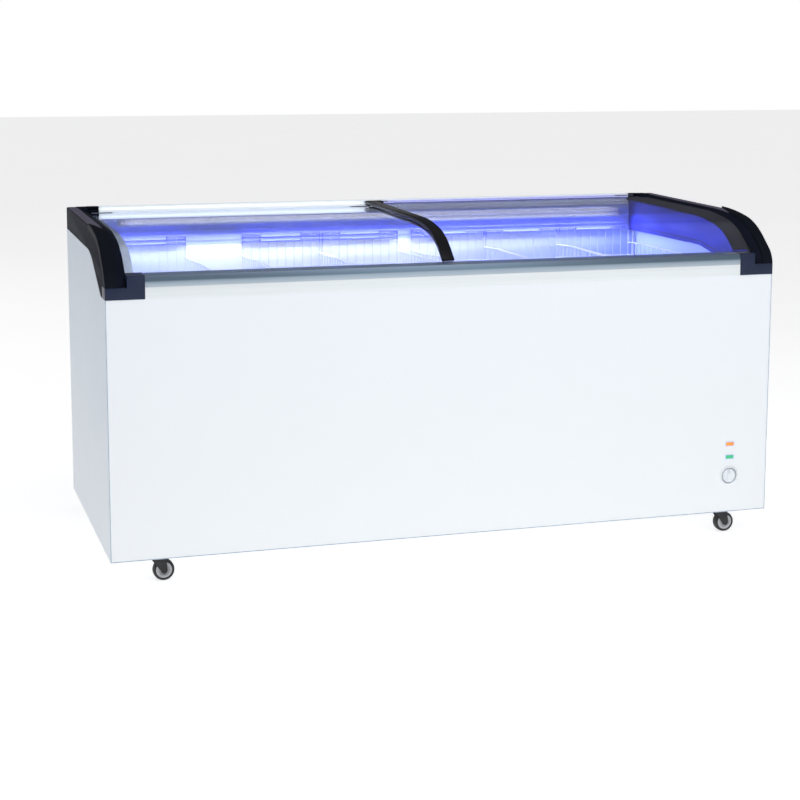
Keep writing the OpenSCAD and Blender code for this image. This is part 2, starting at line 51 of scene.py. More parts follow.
def new_finish(name):
    """An empty material with its tree, its Principled shader and its Object coordinates."""
    finish = bpy.data.materials.new(name)
    finish.use_nodes = True
    tree = finish.node_tree
    place = tree.nodes.new("ShaderNodeTexCoord").outputs["Object"]
    return finish, tree, tree.nodes["Principled BSDF"], place


def mottle(tree, place, scale, detail=2.0, stretch=(1, 1, 1)):
    """A noise pattern over the piece, stretched along its axes."""
    mapping = tree.nodes.new("ShaderNodeMapping")
    mapping.inputs["Scale"].default_value = stretch
    noise = tree.nodes.new("ShaderNodeTexNoise")
    noise.inputs["Scale"].default_value = scale
    noise.inputs["Detail"].default_value = detail
    tree.links.new(place, mapping.inputs["Vector"])
    tree.links.new(mapping.outputs["Vector"], noise.inputs["Vector"])
    return noise.outputs["Fac"]


def along(tree, place, axis, low, high):
    """How far a point lies between two places on one axis, from 0 to 1."""
    parts = tree.nodes.new("ShaderNodeSeparateXYZ")
    span = tree.nodes.new("ShaderNodeMapRange")
    span.inputs["From Min"].default_value = low
    span.inputs["From Max"].default_value = high
    tree.links.new(place, parts.inputs["Vector"])
    tree.links.new(parts.outputs[axis], span.inputs["Value"])
    return span.outputs["Result"]


def tinted(tree, value, stops):
    """A colour for each level of a pattern, from [(level, colour), ...]."""
    ramp = tree.nodes.new("ShaderNodeValToRGB")
    while len(ramp.color_ramp.elements) < len(stops):
        ramp.color_ramp.elements.new(0.5)
    for element, (level, colour) in zip(ramp.color_ramp.elements, stops):
        element.position = level
        element.color = (*colour, 1)
    tree.links.new(value, ramp.inputs["Fac"])
    return ramp.outputs["Color"]


def coloured(tree, shader, value, stops):
    """Lets a pattern choose the surface's colour."""
    tree.links.new(tinted(tree, value, stops), shader.inputs["Base Color"])


def wavering(tree, value, pattern, amount):
    """A level that a pattern shifts by up to an amount."""
    shift = tree.nodes.new("ShaderNodeMath")
    shift.operation = "MULTIPLY_ADD"
    shift.inputs[1].default_value = amount
    tree.links.new(pattern, shift.inputs[0])
    tree.links.new(value, shift.inputs[2])
    return shift.outputs[0]


def uneven_gloss(tree, shader, pattern, low, high):
    """Lets a pattern move the roughness between two values."""
    span = tree.nodes.new("ShaderNodeMapRange")
    span.inputs["To Min"].default_value = low
    span.inputs["To Max"].default_value = high
    tree.links.new(pattern, span.inputs["Value"])
    tree.links.new(span.outputs["Result"], shader.inputs["Roughness"])


def embossed(tree, shader, pattern, strength, depth):
    """Lets a pattern stand up from the surface by a depth in metres."""
    bump = tree.nodes.new("ShaderNodeBump")
    bump.inputs["Strength"].default_value = strength
    bump.inputs["Distance"].default_value = depth
    tree.links.new(pattern, bump.inputs["Height"])
    tree.links.new(bump.outputs["Normal"], shader.inputs["Normal"])


def powder_coat(name, lower, upper):
    """Satin powder coat that is a little lighter at one end of the cabinet's height; on the side
    panels this change is painted shade.
    """
    finish, tree, shader, place = new_finish(name)
    height = wavering(tree, along(tree, place, "Z", 0.07, 0.84), mottle(tree, place, 1.7), 0.1)
    coloured(tree, shader, height, [(0.0, lower), (1.0, upper)])
    uneven_gloss(tree, shader, mottle(tree, place, 9.0), 0.30, 0.38)
    embossed(tree, shader, mottle(tree, place, 420.0), 0.1, 0.0003)
    return finish


def finish_node(node, finish):
    """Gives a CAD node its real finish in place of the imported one."""
    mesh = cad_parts[node].data
    mesh.materials.clear()
    mesh.materials.append(finish)


front_coat = powder_coat("front_powder_coat", (0.90, 0.94, 0.965), (0.86, 0.905, 0.955))
# The side panels' darker, bluer colour, darkest at the top, is painted shade on the same white coat
# as the front.
side_coat_painted_shade = powder_coat("side_powder_coat_painted_shade", (0.73, 0.79, 0.85), (0.50, 0.58, 0.67))
for node in ("front_panel", "rear_panel"):
    finish_node(node, front_coat)
for node in ("left_side_panel", "right_side_panel"):
    finish_node(node, side_coat_painted_shade)


# ---- Folded edges of the front panel ------------------------------------------------
# The front sheet is folded back round both ends and along the bottom. The small bend
# radius shows as a thin line down each corner and under the panel; its blue-grey colour
# is painted shade on the bend.

def add_block(bm, low, high, rounding=0.0, segments=2):
    """Adds a box between two corners, with its edges rounded over."""
    low, high = Vector(low), Vector(high)
    verts = bmesh.ops.create_cube(bm, size=1.0, matrix=Matrix.LocRotScale(
        (low + high) / 2, None, high - low))["verts"]
    if rounding:
        edges = list({edge for vert in verts for edge in vert.link_edges})
        bmesh.ops.bevel(bm, geom=edges, offset=rounding, segments=segments, profile=0.5,
                        affect="EDGES", material=-1)


def finished(bm, name, body, finish, replaced=(), smooth=35):
    """Makes the shape a smooth-shaded piece that rides on a body and stands for CAD nodes."""
    mesh = bpy.data.meshes.new(name)
    bm.to_mesh(mesh)
    bm.free()
    mesh.materials.append(finish)
    mesh.shade_smooth()
    mesh.set_sharp_from_angle(angle=radians(smooth))
    piece = bpy.data.objects.new(name, mesh)
    bpy.context.scene.collection.objects.link(piece)
    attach(piece, body)
    if replaced:
        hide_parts(*replaced)
    return piece


def folded_edge_painted_shade(name):
    """Blue-grey colour that paints the shade on the sheet's folded edge, a little lighter in
    places.
    """
    finish, tree, shader, place = new_finish(name)
    coloured(tree, shader, mottle(tree, place, 30.0),
             [(0.3, (0.34, 0.44, 0.56)), (0.7, (0.46, 0.56, 0.67))])
    uneven_gloss(tree, shader, mottle(tree, place, 60.0), 0.25, 0.4)
    return finish


fold_w, fold_t, fold_gap = 0.0022, 0.0016, 0.0006
panel_low, panel_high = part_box("front_panel")
fold_front = panel_low.y - fold_gap
folds = bmesh.new()
for x in (panel_low.x, panel_high.x - fold_w):
    add_block(folds, (x, fold_front, panel_low.z),
              (x + fold_w, fold_front + fold_t, panel_high.z), 0.0005)
add_block(folds, (panel_low.x + fold_w, fold_front, panel_low.z),
          (panel_high.x - fold_w, fold_front + fold_t, panel_low.z + fold_w), 0.0005)
finished(folds, "front_panel_folds", "cabinet", folded_edge_painted_shade("folded_edge_steel_painted_shade"))


# ---- Base pan, drain and cable inlet ------------------------------------------------
# The base is a galvanised pan with cooling slots under the machine bay. The drain and
# the cable inlet are push-in grey and black plastic mouldings.

def galvanised_steel(name, dark, light, metallic=0.8):
    """Zinc-coated sheet with a faint spangle."""
    finish, tree, shader, place = new_finish(name)
    spangle = tree.nodes.new("ShaderNodeTexVoronoi")
    spangle.inputs["Scale"].default_value = 90.0
    tree.links.new(place, spangle.inputs["Vector"])
    coloured(tree, shader, spangle.outputs["Distance"], [(0.0, dark), (1.0, light)])
    uneven_gloss(tree, shader, mottle(tree, place, 25.0), 0.35, 0.55)
    shader.inputs["Metallic"].default_value = metallic
    return finish


def moulded_plastic(name, colour, low=0.38, high=0.5, grain=0.15, grain_scale=1300.0,
                    shine=0.5):
    """Moulded plastic with a fine spark-eroded grain."""
    finish, tree, shader, place = new_finish(name)
    shader.inputs["Specular IOR Level"].default_value = shine
    lighter = tuple(1.25 * part for part in colour)
    coloured(tree, shader, mottle(tree, place, 22.0, 3.0), [(0.35, colour), (0.75, lighter)])
    uneven_gloss(tree, shader, mottle(tree, place, 70.0), low, high)
    embossed(tree, shader, mottle(tree, place, grain_scale, 1.0), grain, 0.0002)
    return finish


zinc = galvanised_steel("galvanised_sheet", (0.42, 0.44, 0.46), (0.62, 0.64, 0.66))
drain_plastic = moulded_plastic("drain_grey_plastic", (0.30, 0.31, 0.32))
inlet_plastic = moulded_plastic("inlet_black_plastic", (0.02, 0.02, 0.022))
finish_node("base_pan", zinc)
finish_node("drain_plug", drain_plastic)
finish_node("drain_outlet", drain_plastic)
finish_node("cable_gland", inlet_plastic)


# ---- Insulation and evaporator ------------------------------------------------------
# Polyurethane foam fills the walls round a copper evaporator coil that is clipped to
# the outside of the liner.

def cellular_foam(name):
    """Cream foam with open cells at its skin."""
    finish, tree, shader, place = new_finish(name)
    cells = mottle(tree, place, 180.0, 4.0)
    coloured(tree, shader, cells, [(0.3, (0.66, 0.57, 0.32)), (0.7, (0.80, 0.72, 0.46))])
    embossed(tree, shader, cells, 0.5, 0.001)
    shader.inputs["Roughness"].default_value = 0.9
    return finish


def drawn_copper(name):
    """Copper tube with tarnished patches."""
    finish, tree, shader, place = new_finish(name)
    patches = mottle(tree, place, 16.0, 3.0)
    coloured(tree, shader, patches, [(0.3, (0.42, 0.18, 0.09)), (0.7, (0.75, 0.36, 0.20))])
    uneven_gloss(tree, shader, patches, 0.22, 0.45)
    shader.inputs["Metallic"].default_value = 1.0
    return finish


finish_node("foam_core", cellular_foam("polyurethane_foam"))
finish_node("evaporator_coil", drawn_copper("evaporator_copper"))


# ---- Liner --------------------------------------------------------------------------
# The inside is lined with white-coated sheet, stucco embossed and joined at the corners
# with a bead of sealant. The lamp over it tints it blue towards the ends and the top. Its
# blue is also painted into the colours of the liner, the band above it and the ledges.

def liner_with_painted_lamplight(name):
    """White embossed sheet with the lamp's blue light painted into its colour, bluer at both ends
    of the cabinet.
    """
    finish, tree, shader, place = new_finish(name)
    length = wavering(tree, along(tree, place, "X", -0.85, 0.85), mottle(tree, place, 2.5), 0.06)
    coloured(tree, shader, length,
             [(0.0, (0.64, 0.72, 0.94)), (0.35, (0.90, 0.92, 0.97)), (0.65, (0.84, 0.87, 0.97)),
              (1.0, (0.45, 0.55, 0.95))])
    uneven_gloss(tree, shader, mottle(tree, place, 30.0), 0.25, 0.4)
    embossed(tree, shader, mottle(tree, place, 260.0, 1.0), 0.12, 0.0006)
    return finish


def band_with_painted_lamplight(name):
    """White extrusion above the liner, with the lamp's deep blue light painted into its colour
    towards its foot and a painted glow.
    """
    finish, tree, shader, place = new_finish(name)
    height = wavering(tree, along(tree, place, "Z", 0.804, 0.873), mottle(tree, place, 3.0), 0.2)
    coloured(tree, shader, height,
             [(0.0, (0.42, 0.50, 0.98)), (0.35, (0.26, 0.31, 0.97)), (0.8, (0.34, 0.40, 0.98)),
              (1.0, (0.72, 0.76, 1.0))])
    uneven_gloss(tree, shader, mottle(tree, place, 20.0), 0.2, 0.35)
    # The emission is a painted glow: lamp light painted onto the band.
    shader.inputs["Emission Color"].default_value = (0.30, 0.38, 1.0, 1)
    shader.inputs["Emission Strength"].default_value = 0.28
    return finish


painted_lamplight_liner = liner_with_painted_lamplight("liner_sheet_with_painted_lamplight")
finish_node("liner", painted_lamplight_liner)
finish_node("liner_breaker", band_with_painted_lamplight("breaker_band_painted_lamplight"))
# The ledges' blue is the lamp's light painted into their colour.
finish_node("basket_ledges", galvanised_steel("ledge_steel_painted_lamplight", (0.24, 0.28, 0.80),
                                              (0.34, 0.38, 0.88), 0.1))

liner_x, liner_y = 0.845, 0.345
liner_floor, step_tread = 0.130, 0.399
liner_front_top, liner_rear_top = 0.770, 0.804
bead_r, bead_in = 0.004, 0.0025
sealant = moulded_plastic("corner_sealant", (0.72, 0.76, 0.90), 0.3, 0.45, 0.05)
beads = bmesh.new()
for x, foot in ((-liner_x, liner_floor), (liner_x, step_tread)):
    for y, top in ((-liner_y, liner_front_top), (liner_y, liner_rear_top)):
        middle = (x - math.copysign(bead_in, x), y - math.copysign(bead_in, y), (top + foot) / 2)
        bmesh.ops.create_cone(beads, cap_ends=True, segments=12, radius1=bead_r, radius2=bead_r,
                              depth=top - foot, matrix=Matrix.Translation(middle))
finished(beads, "liner_corner_beads", "cabinet", sealant)


# ---- Rails --------------------------------------------------------------------------
# The front rail is a satin anodised extrusion with two slots for the lids' feet, over a
# white plastic band. The rear rail is a white extrusion with a groove for each lid.

def taken_from(node):
    """A clean solid from a CAD node, its triangles joined back into flat faces."""
    bm = bmesh.new()
    bm.from_mesh(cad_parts[node].data)
    bmesh.ops.remove_doubles(bm, verts=bm.verts[:], dist=1e-6)
    bmesh.ops.dissolve_limit(bm, angle_limit=radians(0.5), verts=bm.verts[:], edges=bm.edges[:])
    return bm


def round_over(bm, radius, segments=2, test=None, sharp=30):
    """Rounds the sharp edges over, or only those whose middle passes a test."""
    edges = [edge for edge in bm.edges if len(edge.link_faces) == 2
             and edge.calc_face_angle(0) > radians(sharp)
             and (test is None or test((edge.verts[0].co + edge.verts[1].co) / 2))]
    bmesh.ops.bevel(bm, geom=edges, offset=radius, segments=segments, profile=0.5,
                    affect="EDGES", material=-1, clamp_overlap=True)


def brushed_rail_painted_shading(name):
    """Anodised aluminium with fine lines along its length, painted lighter on its upright lip as
    painted light and darker towards its top as painted reflection.
    """
    finish, tree, shader, place = new_finish(name)
    lines = mottle(tree, place, 260.0, 3.0, (0.012, 1, 1))
    height = wavering(tree, along(tree, place, "Z", 0.772, 0.802), lines, 0.16)
    coloured(tree, shader, height,
             [(0.0, (0.44, 0.51, 0.58)), (0.48, (0.32, 0.40, 0.48)), (0.6, (0.13, 0.20, 0.27)),
              (1.0, (0.18, 0.24, 0.32))])
    uneven_gloss(tree, shader, lines, 0.30, 0.45)
    embossed(tree, shader, lines, 0.08, 0.0002)
    shader.inputs["Metallic"].default_value = 0.6
    return finish


def white_extrusion(name, colour, glow=0.0):
    """Satin plastic with an extrusion's faint draw lines; its glow, where one is given, is painted
    light.
    """
    finish, tree, shader, place = new_finish(name)
    lines = mottle(tree, place, 120.0, 2.0, (0.02, 1, 1))
    paler = tuple(min(1.06 * part, 1.0) for part in colour)
    coloured(tree, shader, lines, [(0.3, colour), (0.7, paler)])
    uneven_gloss(tree, shader, lines, 0.3, 0.42)
    shader.inputs["Emission Color"].default_value = (*paler, 1)
    shader.inputs["Emission Strength"].default_value = glow
    return finish


rail_metal_painted_shading = brushed_rail_painted_shading("front_rail_painted_shading")
band_white = white_extrusion("front_band_plastic", (0.78, 0.83, 0.85))
# The rear rail's glow is painted light that brightens its face.
rear_rail_painted_glow = white_extrusion("rear_rail_plastic_painted_glow", (0.88, 0.93, 0.95), 0.3)
for node, finish, slot, radius in (("front_rail", rail_metal_painted_shading, "rail_aluminium", 0.0007),
                                   ("front_rail_trim", band_white, "white_plastic", 0.0006),
                                   ("rear_rail", rear_rail_painted_glow, "white_plastic", 0.0008)):
    rail = taken_from(node)
    round_over(rail, radius)
    finished(rail, node + "_extrusion", "cabinet", finish, [node])


# ---- Moulded end frames -------------------------------------------------------------
# Each end of the cabinet is capped by a black moulding that follows the lids: an arm
# that falls off towards the glass, with a raised shoulder over its outer front edge.

def draw_legs(bm, vert, heading, legs):
    """Draws a side view line: straight legs are extruded, round ones are spun."""
    for length, turn in legs:
        if turn:
            radius = length / radians(turn)
            centre = vert.co + radius * Vector((0, -math.sin(heading), math.cos(heading)))
            spun = bmesh.ops.spin(bm, geom=[vert], cent=centre, axis=(1, 0, 0),
                                  angle=radians(turn), steps=max(2, round(abs(turn) / 1.5)))
            vert = spun["geom_last"][0]
            heading += radians(turn)
        else:
            vert = bmesh.ops.extrude_vert_indiv(bm, verts=[vert])["verts"][0]
            vert.co += length * Vector((0, math.cos(heading), math.sin(heading)))
    return vert, heading


def draw_to(bm, vert, *corners):
    """Draws straight lines on to each [y, z] corner."""
    for y, z in corners:
        vert = bmesh.ops.extrude_vert_indiv(bm, verts=[vert])["verts"][0]
        vert.co = Vector((vert.co.x, y, z))
    return vert


def moved_out(legs, distance):
    """The same legs on a parallel line a distance further out."""
    return [(length + distance * radians(turn), turn) for length, turn in legs]


def beside(y, z, heading, distance):
    """The start of that parallel line, as [y, z]."""
    return y + distance * math.sin(heading), z - distance * math.cos(heading)


def leg_ends(y, z, heading, legs):
    """Where a line of legs ends, and its heading there."""
    for length, turn in legs:
        last = heading + radians(turn)
        if turn:
            radius = length / radians(turn)
            y += radius * (math.sin(last) - math.sin(heading))
            z -= radius * (math.cos(last) - math.cos(heading))
        else:
            y += length * math.cos(heading)
            z += length * math.sin(heading)
        heading = last
    return y, z, heading


def close_line(bm, first, last):
    """Closes a drawn line into a loop and gives the loop's edges."""
    bmesh.ops.contextual_create(bm, geom=[first, last])
    loop, reached, waiting = set(), {first}, [first]
    while waiting:
        for edge in waiting.pop().link_edges:
            loop.add(edge)
            for vert in edge.verts:
                if vert not in reached:
                    reached.add(vert)
                    waiting.append(vert)
    return list(loop)


def pull_along_x(bm, loop, width):
    """Fills a loop and pulls it out into a solid of that width."""
    face = bmesh.ops.contextual_create(bm, geom=loop)["faces"]
    pulled = bmesh.ops.extrude_face_region(bm, geom=face)["geom"]
    bmesh.ops.translate(bm, vec=(width, 0, 0),
                        verts=[item for item in pulled if isinstance(item, bmesh.types.BMVert)])
    bmesh.ops.recalc_face_normals(bm, faces=bm.faces[:])


def mirror_ends(bm):
    """Turns a right-hand moulding into the left-hand one."""
    bmesh.ops.scale(bm, vec=(-1, 1, 1), verts=bm.verts[:])
    bmesh.ops.recalc_face_normals(bm, faces=bm.faces[:])


half_w, half_d = 0.925, 0.400
rear_end = half_d - 0.001
panel_top, block_top = 0.742, 0.772
block_seat, rail_back = block_top - 0.004, -half_d + 0.053
side_y, side_z, side_slope = half_d, 0.843, radians(0.8)
side_legs = [(0.470, 0), (0.110, 25)]
fall_y, fall_z, fall_heading = leg_ends(side_y, side_z, math.pi + side_slope, side_legs)
fall_angle = fall_heading - math.pi
foot_y = fall_y - (fall_z - panel_top) / math.tan(fall_angle)

ridge_z, ridge_heading = 0.909, radians(180.6)
lid_bend = [(0.150, 10), (0.115, 29)]
ridge_bend = lid_bend + [(0.045, 0), (0.055, 50.4)]
ridge_run = ((rear_end + half_d + leg_ends(0, 0, ridge_heading, ridge_bend)[0])
             / math.cos(ridge_heading - math.pi))
ridge_legs = [(ridge_run, 0)] + ridge_bend
arm_in, arm_crest, arm_out = 0.870, 0.895, half_w - 0.0005
arm_rise, arm_fall = -0.004, -0.014


def arm_loop(bm, x, rise):
    """Closed side view of the arm, with its top a chosen height over the ridge line."""
    first = bm.verts.new((x, *beside(rear_end, ridge_z, ridge_heading, rise)))
    last, _ = draw_legs(bm, first, ridge_heading, moved_out(ridge_legs, rise))
    last = draw_to(bm, last, (last.co.y, block_seat), (rail_back, block_seat),
                   (rail_back, panel_top), (foot_y, panel_top), (fall_y, fall_z))
    length, turn = side_legs[-1]
    last, _ = draw_legs(bm, last, fall_angle, [(length, -turn)])
    last = draw_to(bm, last, (rear_end, side_z))
    return close_line(bm, first, last)


frame_black = moulded_plastic("end_frame_black", (0.008, 0.010, 0.018), 0.45, 0.58, shine=0.012)
for end in ("left", "right"):
    arm = bmesh.new()
    inner, crest, outer = [arm_loop(arm, x, rise) for x, rise in (
        (arm_in, arm_fall), (arm_crest, arm_rise), (arm_out, arm_rise))]
    bmesh.ops.bridge_loops(arm, edges=inner + crest)
    bmesh.ops.bridge_loops(arm, edges=crest + outer)
    for cap in (inner, outer):
        bmesh.ops.contextual_create(arm, geom=cap)
    bmesh.ops.recalc_face_normals(arm, faces=arm.faces[:])
    round_over(arm, 0.009, 4, lambda at: at.y > rear_end - 0.001 and at.z > 0.89)
    round_over(arm, 0.0025, 3, lambda at: at.x > arm_out - 0.001)
    round_over(arm, 0.003, 2, lambda at: at.x < arm_in + 0.001)
    if end == "left":
        mirror_ends(arm)
    finished(arm, end + "_arm_moulding", "cabinet", frame_black,
             [end + "_end_frame"])


# ---- Raised shoulders ---------------------------------------------------------------
# A second moulding is clipped over the outer edge of each arm, from the start of the
# bend down to the corner block. It stands a little proud, with a well rounded edge.

def closed_band(bm, x, y, z, heading, legs, low, high):
    """Closed side view of the strip between two distances from a line of legs."""
    first = bm.verts.new((x, *beside(y, z, heading, high)))
    last, turned = draw_legs(bm, first, heading, moved_out(legs, high))
    last, turned = draw_legs(bm, last, turned + math.pi / 2, [(high - low, 0)])
    back = [(length, -turn) for length, turn in reversed(moved_out(legs, low))]
    last, _ = draw_legs(bm, last, turned + math.pi / 2, back[:-1] if back[-1][1] == 0 else back)
    if back[-1][1] == 0:
        last = draw_to(bm, last, beside(y, z, heading, low))
    return close_line(bm, first, last)


def trimmed(bm, place, normal):
    """Cuts away what lies beyond a plane and closes the cut."""
    cut = bmesh.ops.bisect_plane(bm, geom=bm.verts[:] + bm.edges[:] + bm.faces[:],
                                 plane_co=place, plane_no=normal, clear_outer=True)
    bmesh.ops.contextual_create(bm, geom=[item for item in cut["geom_cut"]
                                          if isinstance(item, bmesh.types.BMEdge)])
    bmesh.ops.recalc_face_normals(bm, faces=bm.faces[:])


shoulder_in = 0.8965
shoulder_start, shoulder_skew = -0.090, Vector((-0.100, 0.0285, 0))
shoulder_rise, shoulder_foot = 0.001, -0.016


def on_outer_edge(at):
    """Whether a place is on the cover's outer top edge, which falls towards the front."""
    edge_z = 0.883 - 1.7 * (shoulder_start - at.y) ** 2
    return at.x > half_w - 0.001 and (at.y < -0.38 or at.z > edge_z)


shoulder_black = moulded_plastic("shoulder_black", (0.006, 0.008, 0.013), 0.46, 0.58, shine=0.03)
for end in ("left", "right"):
    cover = bmesh.new()
    pull_along_x(cover, closed_band(cover, shoulder_in, half_d, ridge_z, ridge_heading, ridge_legs,
                                    shoulder_foot, shoulder_rise), half_w - shoulder_in)
    trimmed(cover, (half_w, shoulder_start, 0), shoulder_skew)
    trimmed(cover, (0, 0, block_top + 0.0004), (0, 0, -1))
    round_over(cover, 0.009, 5, on_outer_edge)
    round_over(cover, 0.0015, 2, lambda at: at.x < shoulder_in + 0.001)
    if end == "left":
        mirror_ends(cover)
    finished(cover, end + "_shoulder_moulding", "cabinet", shoulder_black,
             [end + "_shoulder"])


# ---- Painted sheen on the arms ------------------------------------------------------
# A thin grey textured strip lies along the level rear part of each arm. Its grey is
# painted sheen, where the flat top catches the light, and its front end is rounded.

sheen_strip_w, sheen_strip_sunk, sheen_strip_proud = 0.0255, 0.001, 0.0006
sheen_strip_legs = [(ridge_run, 0), (0.120, 8)]
arm_painted_sheen = moulded_plastic("arm_painted_sheen_grey", (0.120, 0.112, 0.160), 0.55, 0.7, 0.4, 700.0, 0.3)
for end in ("left", "right"):
    sheen_strip = bmesh.new()
    pull_along_x(sheen_strip, closed_band(sheen_strip, arm_crest + 0.0015, half_d - 0.010, ridge_z, ridge_heading,
                                  sheen_strip_legs, arm_rise - sheen_strip_sunk, arm_rise + sheen_strip_proud), sheen_strip_w)
    trimmed(sheen_strip, (half_w, shoulder_start + 0.003, 0), -shoulder_skew)
    round_over(sheen_strip, 0.0004, 1)
    if end == "left":
        mirror_ends(sheen_strip)
    finished(sheen_strip, end + "_arm_painted_sheen_strip", "cabinet", arm_painted_sheen)


# ---- Inner mouldings ----------------------------------------------------------------
# Between the liner's end wall and the lids, each frame carries a glossy moulding with a
# ledge on its top. The lamp's deep blue light is painted into the right one's colour, and
# painted pale light into the left one's. A dark gasket runs below.

def moulding_finish_painted_lamplight(name):
    """Glossy moulding with the lamp's deep blue light painted into its colour, in violet clouds."""
    finish, tree, shader, place = new_finish(name)
    clouds = mottle(tree, place, 5.0, 3.0, (1, 0.6, 2.2))
    coloured(tree, shader, clouds,
             [(0.3, (0.012, 0.010, 0.28)), (0.55, (0.028, 0.035, 0.46)),
              (0.75, (0.07, 0.09, 0.62))])
    uneven_gloss(tree, shader, clouds, 0.25, 0.38)
    shader.inputs["Specular IOR Level"].default_value = 0.2
    return finish


lid_y, lid_z, lid_heading = 0.386, 0.901, radians(180.6)
lid_run, lid_foot = 0.475, 0.058
lid_drop, glass_t = 0.014, 0.004
gasket_up, gasket_h, gasket_w = 0.0125, 0.0022, 0.0012
ledge_low, ledge_high, ledge_foot = 0.0002, 0.0010, 0.026
liner_edge = [(-0.3445, 0.7705), (-0.240, 0.7815), (-0.150, 0.7975), (0.3435, 0.8045)]
moulding_painted_lamplight = moulding_finish_painted_lamplight("inner_moulding_painted_lamplight")
gasket_black = moulded_plastic("inner_gasket_black", (0.012, 0.012, 0.05), 0.35, 0.5)
# The left moulding's pale colour is painted light on the same part.
moulding_painted_pale_light = moulded_plastic("inner_moulding_painted_pale_light", (0.60, 0.68, 0.80), 0.3, 0.4, 0.05, shine=0.2)
for end, width, fall, finish in (
        ("left", 0.0245, lid_drop + glass_t + 0.004, moulding_painted_pale_light),
        ("right", 0.0445, lid_drop + 0.0005, moulding_painted_lamplight)):
    moulding = bmesh.new()
    start = arm_in - 0.0005 - width
    rear_gap = lid_y - liner_edge[-1][0]
    top_y, top_z = lid_y - rear_gap, lid_z - rear_gap * math.sin(lid_heading - math.pi)
    top_run = [(lid_run - rear_gap, 0)]
    first = moulding.verts.new((start, *beside(top_y, top_z, lid_heading, -fall)))
    last, _ = draw_legs(moulding, first, lid_heading,
                        top_run + moved_out(lid_bend, -fall) + [(0.030, 0)])
    last = draw_to(moulding, last, *liner_edge)
    pull_along_x(moulding, close_line(moulding, first, last), width)
    round_over(moulding, 0.0012, 2)

    gasket = bmesh.new()
    first = gasket.verts.new((start - 0.0008, liner_edge[0][0] + 0.003, liner_edge[0][1] + 0.011))
    gasket_line = [(y, z + gasket_up) for y, z in liner_edge[1:]]
    last = draw_to(gasket, first, *gasket_line)
    last = draw_to(gasket, last, *[(y, z + gasket_h) for y, z in reversed(gasket_line)],
                   (first.co.y, first.co.z + gasket_h))
    pull_along_x(gasket, close_line(gasket, first, last), gasket_w)
    ledge = bmesh.new()
    pull_along_x(ledge, closed_band(ledge, start + 0.0006, top_y, top_z, lid_heading,
                                    top_run + lid_bend + [(ledge_foot, 0)],
                                    ledge_low - fall, ledge_high - fall), width - 0.0009)
    if end == "left":
        for shape in (moulding, gasket, ledge):
            mirror_ends(shape)
    finished(moulding, end + "_inner_moulding", "cabinet", finish,
             smooth=20)
    finished(gasket, end + "_inner_gasket", "cabinet", gasket_black)
    finished(ledge, end + "_inner_ledge", "cabinet", frame_black if end == "right" else finish,
             smooth=20)


# ---- Corner blocks ------------------------------------------------------------------
# Moulded blocks close the ends of the front rail and carry the foot of each shoulder.
# Smaller ones close the ends of the rear rail. All keep the slots that the lids run in.

corner_navy = moulded_plastic("corner_block_navy", (0.012, 0.020, 0.052), 0.34, 0.46, shine=0.25)
cap_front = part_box("left_rear_corner")[0].y
shelf_low, shelf_high = 0.878, 0.9057
for end in ("left", "right"):
    block = taken_from(end + "_front_corner")
    round_over(block, 0.0022, 3)
    finished(block, end + "_front_corner_block", "cabinet", corner_navy,
             [end + "_front_corner"])
    cap = taken_from(end + "_rear_corner")
    round_over(cap, 0.0008, 2)
    finished(cap, end + "_rear_corner_cap", "cabinet", frame_black,
             [end + "_rear_corner"])
    shelf = bmesh.new()
    add_block(shelf, (arm_in + 0.0002, cap_front, shelf_low),
              (arm_crest + 0.004, half_d - 0.0008, shelf_high), 0.0015, 3)
    if end == "left":
        mirror_ends(shelf)
    finished(shelf, end + "_rear_corner_shelf", "cabinet", frame_black)


# ---- Lamp ---------------------------------------------------------------------------
# A fluorescent tube lies under the rear rail in an open white trough, between two end
# sockets. It gives a cool violet light that falls forwards over the baskets.

def glowing_tube(name):
    """Phosphor-coated glass that glows, less so at its ends."""
    finish, tree, shader, place = new_finish(name)
    ends = tree.nodes.new("ShaderNodeMath")
    ends.operation = "ABSOLUTE"
    parts = tree.nodes.new("ShaderNodeSeparateXYZ")
    tree.links.new(place, parts.inputs["Vector"])
    tree.links.new(parts.outputs["X"], ends.inputs[0])
    glow = [(0.0, (0.92, 0.92, 1.0)), (0.74, (0.88, 0.88, 1.0)), (0.77, (0.35, 0.33, 0.60))]
    tree.links.new(tinted(tree, ends.outputs[0], glow), shader.inputs["Emission Color"])
    coloured(tree, shader, mottle(tree, place, 12.0),
             [(0.3, (0.85, 0.86, 0.95)), (0.7, (0.92, 0.93, 1.0))])
    shader.inputs["Emission Strength"].default_value = 1.0
    shader.inputs["Roughness"].default_value = 0.15
    return finish


tube_low, tube_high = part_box("light_tube")
tube_middle = (tube_low + tube_high) / 2
tube_r = (tube_high.z - tube_low.z) / 2
across_x = Matrix.Rotation(radians(90), 4, "Y")
tube = bmesh.new()
bmesh.ops.create_cone(tube, cap_ends=True, segments=32, radius1=tube_r, radius2=tube_r,
                      depth=tube_high.x - tube_low.x,
                      matrix=Matrix.Translation(tube_middle) @ across_x)
round_over(tube, 0.002, 3)
finished(tube, "lamp_tube", "cabinet", glowing_tube("lamp_tube_glass"),
         ["light_tube"])
tube_light = bpy.data.lights.new("tube_light", "AREA")
tube_light.shape = "RECTANGLE"
tube_light.size, tube_light.size_y = tube_high.x - tube_low.x, 0.02
tube_light.energy = 9
tube_light.color = (0.80, 0.84, 1.0)
tube_glow = bpy.data.objects.new("tube_light", tube_light)
tube_glow.location = tube_middle - Vector((0, 0.012, 0.004))
tube_glow.rotation_euler = (radians(-48), 0, 0)
tube_glow.visible_camera = tube_glow.visible_glossy = tube_glow.visible_transmission = False
bpy.context.scene.collection.objects.link(tube_glow)

